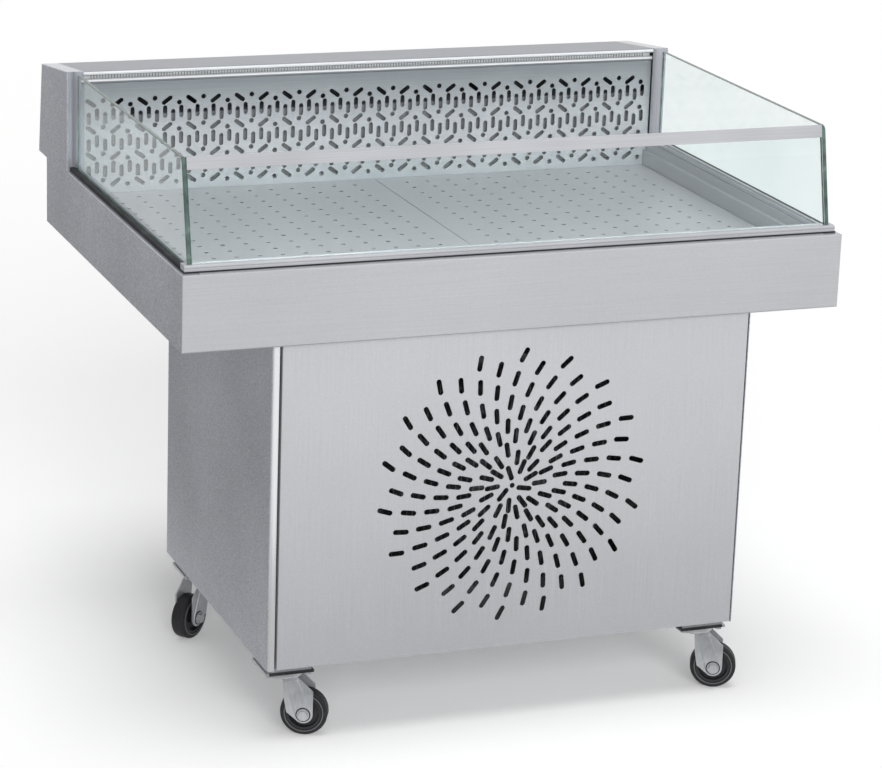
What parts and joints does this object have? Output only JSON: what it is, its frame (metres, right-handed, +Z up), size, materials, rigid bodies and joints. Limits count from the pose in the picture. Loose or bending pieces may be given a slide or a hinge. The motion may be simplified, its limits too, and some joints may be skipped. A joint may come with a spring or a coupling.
{
  "type": "fish display case",
  "caption": "Refrigerated steel serving counter on swivel casters: an open glass-walled well with a perforated deck, a slotted air upstand and a vented machine cabinet.",
  "frame": {"origin": "on the floor, under the middle of the case's bounding box", "axes": "+Z up, front (customer side) towards -Y, +X to the right seen from the front"},
  "size_m": [1.3, 1.05, 1.122],
  "materials": {
    "stainless": "satin",
    "zinc_steel": "satin",
    "aluminium": "satin",
    "clear_glass": "gloss",
    "black_rubber": "matte",
    "tyre_rubber": "matte",
    "dark_plastic": "satin",
    "grey_plastic": "matte",
    "foam": "matte",
    "black_enamel": "gloss",
    "copper": "satin",
    "valve_brass": "satin"
  },
  "bodies": {
    "case": {"side_panel_left": "stainless", "side_panel_right": "stainless", "fascia": "stainless", "tub_floor": "stainless", "tub_rear_panel": "stainless", "upstand_cover": "stainless", "outlet_strip": "stainless", "back_grille": "stainless", "air_baffle": "stainless", "well_tank": "stainless", "cabinet_side_left": "stainless", "cabinet_side_right": "stainless", "front_panel": "stainless", "rear_panel": "stainless", "panel_screws": "stainless", "base_plate": "zinc_steel", "caster_plates": "zinc_steel", "caster_bolts": "zinc_steel", "fan_shroud": "zinc_steel", "condenser_fan_motor": "zinc_steel", "glass_rail": "aluminium", "glass_trim": "aluminium", "evaporator": "aluminium", "condenser": "aluminium", "front_glass": "clear_glass", "side_glass_left": "clear_glass", "side_glass_right": "clear_glass", "glass_seal": "black_rubber", "compressor_mounts": "black_rubber", "controller": "dark_plastic", "power_inlet": "dark_plastic", "fan_housings": "dark_plastic", "electrical_box": "grey_plastic", "insulation": "foam", "compressor": "black_enamel", "receiver": "black_enamel", "refrigerant_lines": "copper", "drain_valve": "valve_brass"},
    "deck_tray_left": {"deck_tray_left": "stainless"},
    "deck_tray_right": {"deck_tray_right": "stainless"},
    "evaporator_fan_left": {"evaporator_fan_left": "dark_plastic"},
    "evaporator_fan_right": {"evaporator_fan_right": "dark_plastic"},
    "condenser_fan": {"condenser_fan": "aluminium"},
    "key_set": {"key_set": "grey_plastic"},
    "key_down": {"key_down": "grey_plastic"},
    "key_up": {"key_up": "grey_plastic"},
    "switch_rocker": {"switch_rocker": "dark_plastic"},
    "drain_lever": {"drain_lever": "zinc_steel"},
    "fork_front_left": {"caster_fork_front_left": "zinc_steel"},
    "wheel_front_left": {"caster_hub_front_left": "dark_plastic", "caster_tyre_front_left": "tyre_rubber"},
    "fork_front_right": {"caster_fork_front_right": "zinc_steel"},
    "wheel_front_right": {"caster_hub_front_right": "dark_plastic", "caster_tyre_front_right": "tyre_rubber"},
    "fork_rear_left": {"caster_fork_rear_left": "zinc_steel"},
    "wheel_rear_left": {"caster_hub_rear_left": "dark_plastic", "caster_tyre_rear_left": "tyre_rubber"},
    "fork_rear_right": {"caster_fork_rear_right": "zinc_steel"},
    "wheel_rear_right": {"caster_hub_rear_right": "dark_plastic", "caster_tyre_rear_right": "tyre_rubber"}
  },
  "joints": [
    {"name": "deck_tray_left_lift", "type": "slide", "parent": "case", "child": "deck_tray_left", "axis": [0, 0, 1], "range_m": [0, 0.09]},
    {"name": "deck_tray_right_lift", "type": "slide", "parent": "case", "child": "deck_tray_right", "axis": [0, 0, 1], "range_m": [0, 0.09]},
    {"name": "evaporator_fan_left_spin", "type": "hinge", "parent": "case", "child": "evaporator_fan_left", "pos_m": [-0.3, 0.41, 1.0485], "axis": [0, 0, 1], "continuous": true},
    {"name": "evaporator_fan_right_spin", "type": "hinge", "parent": "case", "child": "evaporator_fan_right", "pos_m": [0.3, 0.41, 1.0485], "axis": [0, 0, 1], "continuous": true},
    {"name": "condenser_fan_spin", "type": "hinge", "parent": "case", "child": "condenser_fan", "pos_m": [0, -0.33, 0.4715], "axis": [0, 1, 0], "continuous": true},
    {"name": "key_set_press", "type": "slide", "parent": "case", "child": "key_set", "axis": [0, -1, 0], "range_m": [0, 0.0012], "stiffness_N_per_m": 500},
    {"name": "key_down_press", "type": "slide", "parent": "case", "child": "key_down", "axis": [0, -1, 0], "range_m": [0, 0.0012], "stiffness_N_per_m": 500},
    {"name": "key_up_press", "type": "slide", "parent": "case", "child": "key_up", "axis": [0, -1, 0], "range_m": [0, 0.0012], "stiffness_N_per_m": 500},
    {"name": "switch_rocker_tilt", "type": "hinge", "parent": "case", "child": "switch_rocker", "pos_m": [-0.23, 0.456, 0.86], "axis": [1, 0, 0], "range_deg": [-20, 0]},
    {"name": "drain_lever_turn", "type": "hinge", "parent": "case", "child": "drain_lever", "pos_m": [0.22, 0.2733, 0.722], "axis": [0, 1, 0], "range_deg": [0, 90]},
    {"name": "caster_front_left_swivel", "type": "hinge", "parent": "case", "child": "fork_front_left", "pos_m": [-0.424, -0.449, 0.117], "axis": [0, 0, 1], "continuous": true},
    {"name": "caster_front_left_roll", "type": "hinge", "parent": "fork_front_left", "child": "wheel_front_left", "pos_m": [-0.38594, -0.46675, 0.045], "axis": [0.4226, 0.9063, 0], "continuous": true},
    {"name": "caster_front_right_swivel", "type": "hinge", "parent": "case", "child": "fork_front_right", "pos_m": [0.424, -0.449, 0.117], "axis": [0, 0, 1], "continuous": true},
    {"name": "caster_front_right_roll", "type": "hinge", "parent": "fork_front_right", "child": "wheel_front_right", "pos_m": [0.46206, -0.46675, 0.045], "axis": [0.4226, 0.9063, 0], "continuous": true},
    {"name": "caster_rear_left_swivel", "type": "hinge", "parent": "case", "child": "fork_rear_left", "pos_m": [-0.424, 0.091, 0.117], "axis": [0, 0, 1], "continuous": true},
    {"name": "caster_rear_left_roll", "type": "hinge", "parent": "fork_rear_left", "child": "wheel_rear_left", "pos_m": [-0.45617, 0.064, 0.045], "axis": [0.6428, -0.766, 0], "continuous": true},
    {"name": "caster_rear_right_swivel", "type": "hinge", "parent": "case", "child": "fork_rear_right", "pos_m": [0.424, 0.091, 0.117], "axis": [0, 0, 1], "continuous": true},
    {"name": "caster_rear_right_roll", "type": "hinge", "parent": "fork_rear_right", "child": "wheel_rear_right", "pos_m": [0.46347, 0.10536, 0.045], "axis": [-0.342, 0.9397, 0], "continuous": true}
  ]
}
